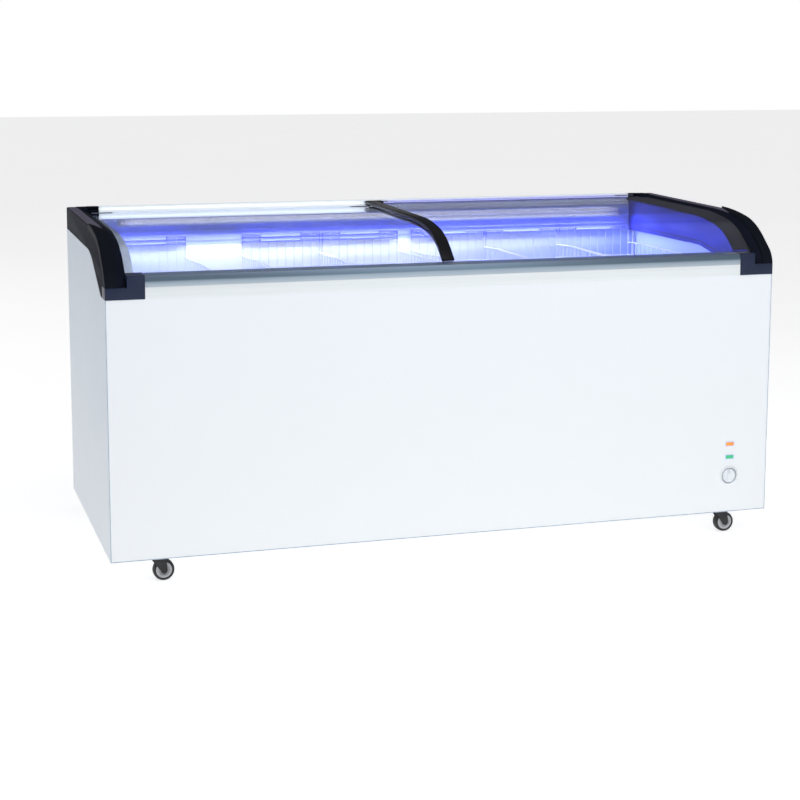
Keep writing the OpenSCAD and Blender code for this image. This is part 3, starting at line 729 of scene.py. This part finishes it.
# The trough's blue and its glow are the lamp's light painted onto white plastic.
trough_painted_lamplight = white_extrusion("lamp_trough_painted_lamplight", (0.60, 0.68, 0.98), 0.15)
trough = taken_from("light_holder")
round_over(trough, 0.0005)
finished(trough, "lamp_trough", "cabinet", trough_painted_lamplight, ["light_holder"])
socket_half = Vector((0.009, 0.0055, 0.0082))
sockets = bmesh.new()
for side in (-1, 1):
    middle = tube_middle + Vector((side * (tube_high.x - 0.004), 0.001, 0))
    add_block(sockets, middle - socket_half, middle + socket_half, 0.0012)
finished(sockets, "lamp_sockets", "cabinet",
         moulded_plastic("socket_white", (0.70, 0.72, 0.80), 0.3, 0.4))


# ---- Glass lids ---------------------------------------------------------------------
# Two sheets of 4 mm tempered glass are bent to the same curve. The right one runs over
# the left one, and both have ground edges. The tint is a pale blue; deeper blue along the
# rear edge is the lamp's light painted into the tint.

def lid_glass(name, tint, rear_painted_lamplight):
    """Clear tempered glass that lets the lamps' light through, with the lamp's blue light painted
    into its tint along its rear edge.
    """
    finish, tree, shader, place = new_finish(name)
    output = tree.nodes["Material Output"]
    depth = wavering(tree, along(tree, place, "Y", -0.35, 0.386), mottle(tree, place, 1.2), 0.02)
    coloured(tree, shader, depth, [(0.0, tint), (0.82, tint), (0.94, rear_painted_lamplight)])
    uneven_gloss(tree, shader, mottle(tree, place, 2.0), 0.0, 0.025)
    shader.inputs["Transmission Weight"].default_value = 1.0
    shader.inputs["IOR"].default_value = 1.45
    clear = tree.nodes.new("ShaderNodeBsdfTransparent")
    clear.inputs["Color"].default_value = (*tint, 1)
    rays = tree.nodes.new("ShaderNodeLightPath")
    mix = tree.nodes.new("ShaderNodeMixShader")
    tree.links.new(rays.outputs["Is Shadow Ray"], mix.inputs["Fac"])
    tree.links.new(shader.outputs["BSDF"], mix.inputs[1])
    tree.links.new(clear.outputs["BSDF"], mix.inputs[2])
    tree.links.new(mix.outputs["Shader"], output.inputs["Surface"])
    return finish


def lid_strip(start, foot, low, high):
    """A band along the lids' curve, from a place on its level part to a place on its foot."""
    y = lid_y - start * math.cos(lid_heading - math.pi)
    z = lid_z - start * math.sin(lid_heading - math.pi)
    return y, z, lid_heading, [(lid_run - start, 0)] + lid_bend + [(foot, 0)], low, high


for side, drop, tint, rear_painted_lamplight in (
        ("left", lid_drop, (0.93, 0.95, 1.0), (0.78, 0.84, 1.0)),
        ("right", 0, (0.86, 0.89, 1.0), (0.22, 0.21, 0.88))):
    low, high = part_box(side + "_glass")
    side_view = lid_strip(0, lid_foot, -glass_t - drop, -drop)
    sheet = bmesh.new()
    pull_along_x(sheet, closed_band(sheet, low.x, *side_view), high.x - low.x)
    round_over(sheet, 0.0008, 2)
    finished(sheet, side + "_lid_glass", side + "_lid",
             lid_glass(side + "_lid_glass", tint, rear_painted_lamplight), [side + "_glass"],
             smooth=20)


# ---- Lid edge strips and grip -------------------------------------------------------
# A black channel is pressed over each lid's inner edge, from under the rear rail down
# to the front rail. A block at the rear of the upper one stops the lid by the rail.

def channel_black(name):
    """Near-black extruded plastic with a soft sheen."""
    finish, tree, shader, place = new_finish(name)
    streaks = mottle(tree, place, 60.0, 2.0, (1, 0.08, 0.08))
    coloured(tree, shader, streaks, [(0.3, (0.004, 0.004, 0.006)), (0.7, (0.009, 0.009, 0.012))])
    uneven_gloss(tree, shader, streaks, 0.25, 0.35)
    shader.inputs["Specular IOR Level"].default_value = 0.12
    return finish


strip_start, strip_under = 0.041, -glass_t - 0.002
strip_black = channel_black("lid_strip_black")
trim_black = channel_black("lid_trim_black")
for node, body, foot, drop, high, rounding, finish in (
        ("right_lid_strip", "right_lid", 0.038, 0, 0.004, 0.0025, strip_black),
        ("left_lid_trim", "left_lid", 0.022, lid_drop, 0.002, 0.001, trim_black)):
    node_low, node_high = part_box(node)
    channel = bmesh.new()
    side_view = lid_strip(strip_start, foot, strip_under - drop, high - drop)
    pull_along_x(channel, closed_band(channel, node_low.x, *side_view), node_high.x - node_low.x)
    round_over(channel, rounding, 3)
    finished(channel, node + "_channel", body, finish, [node], smooth=20)

block_low, block_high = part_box("right_lid_block")
grip = bmesh.new()
add_block(grip, block_low, block_high, 0.002, 3)
finished(grip, "right_lid_grip_block", "right_lid", strip_black,
         ["right_lid_block"])
shoe_nylon = moulded_plastic("lid_shoe_nylon", (0.16, 0.18, 0.21), 0.4, 0.5)
finish_node("left_lid_runners", shoe_nylon)
finish_node("right_lid_runners", shoe_nylon)


# ---- Wire baskets -------------------------------------------------------------------
# Each basket is welded from bent 3 mm wire under a 4 mm rim, and coated. Its pale blue,
# deeper higher up, is the lamp's light painted into the coat's colour. The rim steps up at
# the hooks, which hang on the ledges of the front and rear walls.

def wire_coat_painted_lamplight(name, low, high):
    """Wire under a satin coat, with the lamp's blue light painted into its colour, bluer from under
    the band upwards.
    """
    finish, tree, shader, place = new_finish(name)
    coat = mottle(tree, place, 35.0)
    height = wavering(tree, along(tree, place, "Z", 0.780, 0.812), coat, 0.1)
    coloured(tree, shader, height, [(0.1, low), (0.9, high)])
    uneven_gloss(tree, shader, coat, 0.25, 0.4)
    return finish


def bent_wire(bm, points, radius, closed=False, sides=6):
    """Round wire that runs through a row of points, mitred at each of them."""
    points = [Vector(point) for point in points]
    count = len(points)
    rings = []
    for k, point in enumerate(points):
        ahead = points[(k + 1) % count] - point if closed or k < count - 1 else None
        behind = point - points[k - 1] if closed or k else None
        into = (ahead or behind).normalized() if not (ahead and behind) else (
            ahead.normalized() + behind.normalized()).normalized()
        lean = into.dot((ahead or behind).normalized())
        turn = into.to_track_quat("Z", "Y").to_matrix().to_4x4()
        ring = bmesh.ops.create_circle(bm, segments=sides, radius=radius / max(lean, 0.5),
                                       matrix=Matrix.Translation(point) @ turn)["verts"]
        rings.append(list({edge for vert in ring for edge in vert.link_edges}))
    pairs = list(zip(rings, rings[1:])) + ([(rings[-1], rings[0])] if closed else [])
    for one, other in pairs:
        bmesh.ops.bridge_loops(bm, edges=one + other)
    if not closed:
        for ring in (rings[0], rings[-1]):
            bmesh.ops.contextual_create(bm, geom=ring)


basket_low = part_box("basket_1")[0]
basket_half_w = 0.119
wire_r, rim_r, post_r, hook_r, bend_r = 0.0013, 0.0020, 0.0017, 0.0016, 0.010
basket_front, basket_rear = -0.328, 0.327
basket_floor = basket_low.z + wire_r + 0.0002
side_top, rear_top, rear_rim = 0.764 - rim_r, 0.8252 - rim_r, 0.8155 - rim_r
hook_w, hook_in = 0.050, 0.004
rear_lip, front_lip = (0.3415, 0.8170), (-0.3425, 0.7600)


def basket_wires(bm):
    """The thin wires of one basket, round its own middle line."""
    x_in = basket_half_w - rim_r
    y_front, y_rear = basket_front + rim_r, basket_rear - rim_r
    for k in range(1, 9):
        x = -x_in + 2 * x_in * k / 9
        rear = rear_top if abs(x) > x_in - hook_in - hook_w else rear_rim
        bent_wire(bm, [(x, y_front, side_top), (x, y_front, basket_floor + bend_r),
                       (x, y_front + bend_r, basket_floor), (x, y_rear - bend_r, basket_floor),
                       (x, y_rear, basket_floor + bend_r), (x, y_rear, rear)], wire_r)
    for k in range(1, 22):
        y = y_front + (y_rear - y_front) * k / 22
        bent_wire(bm, [(-x_in, y, side_top), (-x_in, y, basket_floor + bend_r),
                       (-x_in + bend_r, y, basket_floor + 2 * wire_r),
                       (x_in - bend_r, y, basket_floor + 2 * wire_r),
                       (x_in, y, basket_floor + bend_r), (x_in, y, side_top)], wire_r)
    for k in range(1, 5):
        z = basket_floor + (side_top - basket_floor) * k / 5
        inset = 2 * wire_r
        bent_wire(bm, [(-x_in + inset, y_front + inset, z), (x_in - inset, y_front + inset, z),
                       (x_in - inset, y_rear - inset, z), (-x_in + inset, y_rear - inset, z)],
                  wire_r, closed=True)


def basket_rim(bm):
    """The rim, level round three sides and stepped up at the rear, the posts and hooks."""
    x_in = basket_half_w - rim_r
    y_front, y_rear = basket_front + rim_r, basket_rear - rim_r
    step_x = x_in - hook_in - hook_w
    bent_wire(bm, [(-x_in, y_rear, side_top), (-x_in, y_front, side_top),
                   (x_in, y_front, side_top), (x_in, y_rear, side_top),
                   (x_in, y_rear, rear_top), (step_x, y_rear, rear_top),
                   (step_x, y_rear, rear_rim), (-step_x, y_rear, rear_rim),
                   (-step_x, y_rear, rear_top), (-x_in, y_rear, rear_top)],
              rim_r, closed=True, sides=8)
    for x in (-x_in, x_in):
        for y in (y_rear, y_front):
            bent_wire(bm, [(x, y, side_top), (x, y, basket_floor + bend_r)], post_r)
    for y_wall, (y_lip, z) in ((y_rear, rear_lip), (y_front, front_lip)):
        for side in (-1, 1):
            inner, outer = side * step_x, side * (x_in - hook_in)
            bent_wire(bm, [(inner, y_wall, z), (inner, y_lip, z), (outer, y_lip, z),
                           (outer, y_wall, z)], hook_r)


wire_shape, rim_shape = bmesh.new(), bmesh.new()
basket_wires(wire_shape)
basket_rim(rim_shape)
parts = (("basket_wires", wire_shape,
          wire_coat_painted_lamplight("basket_wire_painted_lamplight", (0.70, 0.75, 0.95), (0.50, 0.56, 0.95))),
         ("basket_rim", rim_shape,
          wire_coat_painted_lamplight("basket_rim_painted_lamplight", (0.70, 0.73, 0.93), (0.16, 0.18, 0.78))))
for name, shape, finish in parts:
    bmesh.ops.recalc_face_normals(shape, faces=shape.faces[:])
    for k in range(1, 7):
        low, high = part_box(f"basket_{k}")
        basket = shape.copy()
        bmesh.ops.translate(basket, vec=((low.x + high.x) / 2, 0, 0), verts=basket.verts[:])
        finished(basket, f"{name}_{k}", f"basket_{k}", finish, [f"basket_{k}"])
    shape.free()


# ---- Refrigeration unit -------------------------------------------------------------
# A hermetic compressor on rubber feet, a finned condenser and its fan sit behind the
# louvred grille at the right end. They are standard parts in black and grey.

def painted_metal(name, dark, light, low, high, metallic=0.0):
    """Paint or bare metal with a soft mottle."""
    finish, tree, shader, place = new_finish(name)
    patches = mottle(tree, place, 28.0, 3.0)
    coloured(tree, shader, patches, [(0.3, dark), (0.7, light)])
    uneven_gloss(tree, shader, patches, low, high)
    shader.inputs["Metallic"].default_value = metallic
    return finish


gloss_black = painted_metal("compressor_black", (0.012, 0.012, 0.013), (0.022, 0.022, 0.024),
                            0.22, 0.35)
fin_grey = painted_metal("condenser_grey", (0.16, 0.17, 0.18), (0.26, 0.27, 0.28), 0.4, 0.55, 0.6)
fan_grey = painted_metal("fan_blade_grey", (0.30, 0.31, 0.32), (0.38, 0.39, 0.40), 0.35, 0.5, 0.3)
foot_rubber = moulded_plastic("foot_rubber", (0.018, 0.018, 0.018), 0.65, 0.8)
for node, finish in (("compressor_feet", foot_rubber), ("condenser", fin_grey),
                     ("fan_shroud", fin_grey), ("fan_blades", fan_grey)):
    finish_node(node, finish)
for node, radius, slot in (("rear_grille", 0.0004, "black_plastic"),
                           ("compressor", 0.0030, "black_steel"),
                           ("fan_motor", 0.0015, "black_steel")):
    shell = taken_from(node)
    round_over(shell, radius, 2, sharp=40)
    finished(shell, node + "_shell", "cabinet",
             frame_black if node == "rear_grille" else gloss_black, [node], smooth=30)


# ---- Controls -----------------------------------------------------------------------
# Two rectangular pilot lamps, orange over green, and a white thermostat dial are let
# into the front panel. The dial has a grip bar with a pointer, and ticks on its bezel.

def pilot_lens(name, dark, light, glow):
    """Ribbed translucent lens, lit from behind."""
    finish, tree, shader, place = new_finish(name)
    ribs = tree.nodes.new("ShaderNodeTexWave")
    ribs.inputs["Scale"].default_value = 220.0
    tree.links.new(place, ribs.inputs["Vector"])
    colours = tinted(tree, ribs.outputs["Fac"], [(0.2, dark), (0.8, light)])
    tree.links.new(colours, shader.inputs["Base Color"])
    tree.links.new(colours, shader.inputs["Emission Color"])
    shader.inputs["Emission Strength"].default_value = glow
    shader.inputs["Roughness"].default_value = 0.18
    return finish


lens_in, rim_w, rim_d = Vector((0.0018, 0, 0.0018)), 0.0015, 0.003
for colour, dark, light in (("orange", (0.72, 0.20, 0.02), (0.95, 0.42, 0.08)),
                            ("green", (0.02, 0.36, 0.14), (0.08, 0.62, 0.30))):
    low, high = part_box(colour + "_lamp")
    lens = bmesh.new()
    add_block(lens, low + lens_in, high - lens_in, 0.0007, 3)
    finished(lens, colour + "_pilot_lens", "cabinet",
             pilot_lens(colour + "_pilot_lens", dark, light, 0.25),
             [colour + "_lamp"])
    rim = bmesh.new()
    rim_y = low.y + 0.0004
    for x in (low.x, high.x - rim_w):
        add_block(rim, (x, rim_y, low.z), (x + rim_w, rim_y + rim_d, high.z), 0.0003, 1)
    for z in (low.z, high.z - rim_w):
        add_block(rim, (low.x + rim_w, rim_y, z), (high.x - rim_w, rim_y + rim_d, z + rim_w),
                  0.0003, 1)
    # The rims share the trough's finish, with its painted lamp blue and painted glow.
    finished(rim, colour + "_pilot_rim", "cabinet", trough_painted_lamplight)

dial_white = moulded_plastic("dial_white", (0.76, 0.80, 0.84), 0.25, 0.35, 0.05)
mark_grey = moulded_plastic("dial_mark_grey", (0.38, 0.40, 0.43), 0.4, 0.5, 0.05)
finish_node("thermostat_body", dial_white)

bezel_low, bezel_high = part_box("thermostat_bezel")
knob_low, knob_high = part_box("thermostat_knob")
dial_x, dial_z = (bezel_low.x + bezel_high.x) / 2, (bezel_low.z + bezel_high.z) / 2
bezel_r, knob_r = (bezel_high.x - bezel_low.x) / 2, (knob_high.x - knob_low.x) / 2


def turned(bm, profile, middle, steps=64):
    """Spins a profile of (radius, distance along +Y) round an axis that runs along Y."""
    x, y, z = middle
    vert = bm.verts.new((x + profile[0][0], y + profile[0][1], z))
    for radius, reach in profile[1:]:
        vert = bmesh.ops.extrude_vert_indiv(bm, verts=[vert])["verts"][0]
        vert.co = Vector((x + radius, y + reach, z))
    bmesh.ops.spin(bm, geom=bm.verts[:] + bm.edges[:], cent=middle, axis=(0, 1, 0),
                   angle=radians(360), steps=steps, use_merge=True)
    bmesh.ops.remove_doubles(bm, verts=bm.verts[:], dist=1e-6)
    bmesh.ops.recalc_face_normals(bm, faces=bm.faces[:])


bezel = bmesh.new()
turned(bezel, [(bezel_r, 0.0016), (bezel_r - 0.0002, 0.0004), (bezel_r - 0.001, 0),
               (knob_r + 0.0032, 0), (knob_r + 0.0026, 0.0004), (knob_r + 0.0025, 0.0155),
               (0.0036, 0.0155), (0.0036, 0.0171), (0.024, 0.0171), (0.024, 0.0016),
               (bezel_r, 0.0016)], (dial_x, bezel_low.y, dial_z))
finished(bezel, "thermostat_bezel_ring", "cabinet", dial_white,
         ["thermostat_bezel"])

tick_w, tick_foot, tick_h = 0.0008, dial_z + knob_r + 0.0036, 0.0014
ticks = bmesh.new()
for k in range(9):
    tick = bmesh.new()
    add_block(tick, (dial_x - tick_w / 2, bezel_low.y - 0.0002, tick_foot),
              (dial_x + tick_w / 2, bezel_low.y + 0.0004, tick_foot + tick_h + 0.0002 * k))
    bmesh.ops.rotate(tick, cent=(dial_x, 0, dial_z), verts=tick.verts[:],
                     matrix=Matrix.Rotation(radians(-120 + 30 * k), 3, "Y"))
    tick_mesh = bpy.data.meshes.new("tick")
    tick.to_mesh(tick_mesh)
    tick.free()
    ticks.from_mesh(tick_mesh)
    bpy.data.meshes.remove(tick_mesh)
finished(ticks, "thermostat_ticks", "cabinet", mark_grey)

knob = bmesh.new()
turned(knob, [(0, 0.0035), (0.0165, 0.0035), (0.0185, 0.0008), (0.0192, 0), (knob_r, 0.0006),
              (knob_r, 0.0138), (0.003, 0.0138), (0.003, 0.0328), (0, 0.0328)],
       (dial_x, knob_low.y, dial_z))
finished(knob, "thermostat_dial", "knob", dial_white, ["thermostat_knob"])
grip_w, grip_l = 0.0064, 0.0340
grip_bar = bmesh.new()
add_block(grip_bar, (dial_x - grip_w / 2, knob_low.y, dial_z - grip_l / 2),
          (dial_x + grip_w / 2, knob_low.y + 0.0045, dial_z + grip_l / 2), 0.0012, 3)
finished(grip_bar, "thermostat_grip", "knob", dial_white)
pointer = bmesh.new()
add_block(pointer, (dial_x - 0.0007, knob_low.y - 0.0003, dial_z + 0.0060),
          (dial_x + 0.0007, knob_low.y + 0.001, dial_z + 0.0150), 0.0002, 1)
finished(pointer, "thermostat_pointer", "knob", mark_grey)


# ---- Casters ------------------------------------------------------------------------
# Four small swivel casters are screwed to the base. Each has a pressed steel fork on a
# ball race, a black rubber tyre and a pale grey hub that shows between the cheeks.

caster_steel = painted_metal("caster_black_steel", (0.012, 0.012, 0.014), (0.030, 0.030, 0.033),
                             0.3, 0.45, 0.4)
tyre_rubber = moulded_plastic("tyre_rubber", (0.014, 0.014, 0.015), 0.5, 0.65, 0.3)
hub_grey = moulded_plastic("hub_grey_plastic", (0.42, 0.43, 0.45), 0.3, 0.42)
plates = taken_from("caster_mounts")
round_over(plates, 0.0006, 2, sharp=50)
finished(plates, "caster_plates", "cabinet", caster_steel, ["caster_mounts"])
for corner in ("front_left", "front_right", "rear_left", "rear_right"):
    fork = taken_from("fork_" + corner)
    round_over(fork, 0.0007, 2, sharp=50)
    finished(fork, "caster_fork_" + corner, "caster_" + corner, caster_steel,
             ["fork_" + corner])

    low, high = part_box("wheel_" + corner)
    wheel_r, wheel_w = (high.z - low.z) / 2, high.y - low.y
    middle = ((low.x + high.x) / 2, low.y, (low.z + high.z) / 2)
    ring_r = wheel_r - 0.007
    tyre = bmesh.new()
    turned(tyre, [(ring_r, 0.0008), (wheel_r - 0.004, 0), (wheel_r - 0.001, 0.0015),
                  (wheel_r, 0.005), (wheel_r, wheel_w - 0.005), (wheel_r - 0.001, wheel_w - 0.0015),
                  (wheel_r - 0.004, wheel_w), (ring_r, wheel_w - 0.0008), (ring_r, 0.0008)],
           middle, 48)
    finished(tyre, "wheel_tyre_" + corner, "wheel_" + corner, tyre_rubber,
             ["wheel_" + corner])
    hub = bmesh.new()
    turned(hub, [(0.00405, 0), (0.0085, 0), (0.0092, 0.0035), (0.0135, 0.0035), (0.0145, 0.0006),
                 (ring_r - 0.0002, 0.0006), (ring_r - 0.0002, wheel_w - 0.0006),
                 (0.0145, wheel_w - 0.0006), (0.0135, wheel_w - 0.0035),
                 (0.0092, wheel_w - 0.0035), (0.0085, wheel_w), (0.00405, wheel_w),
                 (0.00405, 0)], middle, 48)
    finished(hub, "wheel_hub_" + corner, "wheel_" + corner, hub_grey)


# ---- Studio -------------------------------------------------------------------------
# A pale floor in surroundings that are white at the horizon and dim above it, so that the
# lids don't mirror them. Wide soft lamps stand overhead, in front, to the left and behind.

def pale_floor_paint(name):
    """Matt off-white paint with a very faint mottle."""
    finish, tree, shader, place = new_finish(name)
    coloured(tree, shader, mottle(tree, place, 0.8),
             [(0.3, (0.82, 0.82, 0.82)), (0.7, (0.85, 0.85, 0.85))])
    shader.inputs["Roughness"].default_value = 0.8
    shader.inputs["Emission Color"].default_value = (1, 1, 1, 1)
    shader.inputs["Emission Strength"].default_value = 0.66
    return finish


floor_mesh = bpy.data.meshes.new("studio_floor")
floor_shape = bmesh.new()
bmesh.ops.create_grid(floor_shape, x_segments=1, y_segments=1, size=30.0)
floor_shape.to_mesh(floor_mesh)
floor_shape.free()
floor_mesh.materials.append(pale_floor_paint("studio_floor_paint"))
floor = bpy.data.objects.new("studio_floor", floor_mesh)
bpy.context.scene.collection.objects.link(floor)


def soft_lamp(name, place, target, size, power, colour=(1, 1, 1)):
    """A square studio lamp that faces a point."""
    light = bpy.data.lights.new(name, "AREA")
    light.size = size
    light.energy = power
    light.color = colour
    lamp = bpy.data.objects.new(name, light)
    lamp.location = place
    lamp.rotation_euler = (Vector(target) - Vector(place)).to_track_quat("-Z", "Y").to_euler()
    bpy.context.scene.collection.objects.link(lamp)


surroundings = bpy.data.worlds.new("studio_surroundings")
surroundings.use_nodes = True
sky = surroundings.node_tree
height = sky.nodes.new("ShaderNodeSeparateXYZ")
sky.links.new(sky.nodes.new("ShaderNodeTexCoord").outputs["Generated"], height.inputs[0])
sky.links.new(tinted(sky, height.outputs["Z"], [
    (0.0, (1, 1, 1)), (0.045, (1, 1, 1)), (0.09, (0.05, 0.05, 0.06)), (0.5, (0.08, 0.08, 0.09)),
    (1.0, (0.45, 0.45, 0.46))]), sky.nodes["Background"].inputs["Color"])
bpy.context.scene.world = surroundings

soft_lamp("overhead_lamp", (0.3, -2.2, 4.0), (0, 0, 0.5), 3.0, 50)
soft_lamp("front_lamp", (1.4, -5.2, 2.6), (0, -0.4, 0.4), 3.0, 55)
soft_lamp("left_lamp", (-5.0, -1.5, 2.2), (-0.9, 0, 0.4), 2.5, 14)
soft_lamp("rear_lamp", (-5.0, 4.5, 2.2), (0, 0.4, 0.4), 2.5, 50)

view = bpy.context.scene.view_settings
view.view_transform = "Standard"
view.look = "None"

camera = bpy.data.objects.new("camera", bpy.data.cameras.new("camera"))
camera.data.lens = 78.41
camera.data.sensor_width = 36
camera.data.shift_y = -0.125
camera.location = (-1.4892, -4.6921, 1.3658)
yaw, pitch, roll = radians(-17.199), radians(90 - 8.265), radians(0.119)
camera.rotation_euler = (Matrix.Rotation(yaw, 3, "Z") @ Matrix.Rotation(pitch, 3, "X")
                         @ Matrix.Rotation(roll, 3, "Z")).to_euler()
bpy.context.scene.collection.objects.link(camera)
bpy.context.scene.camera = camera
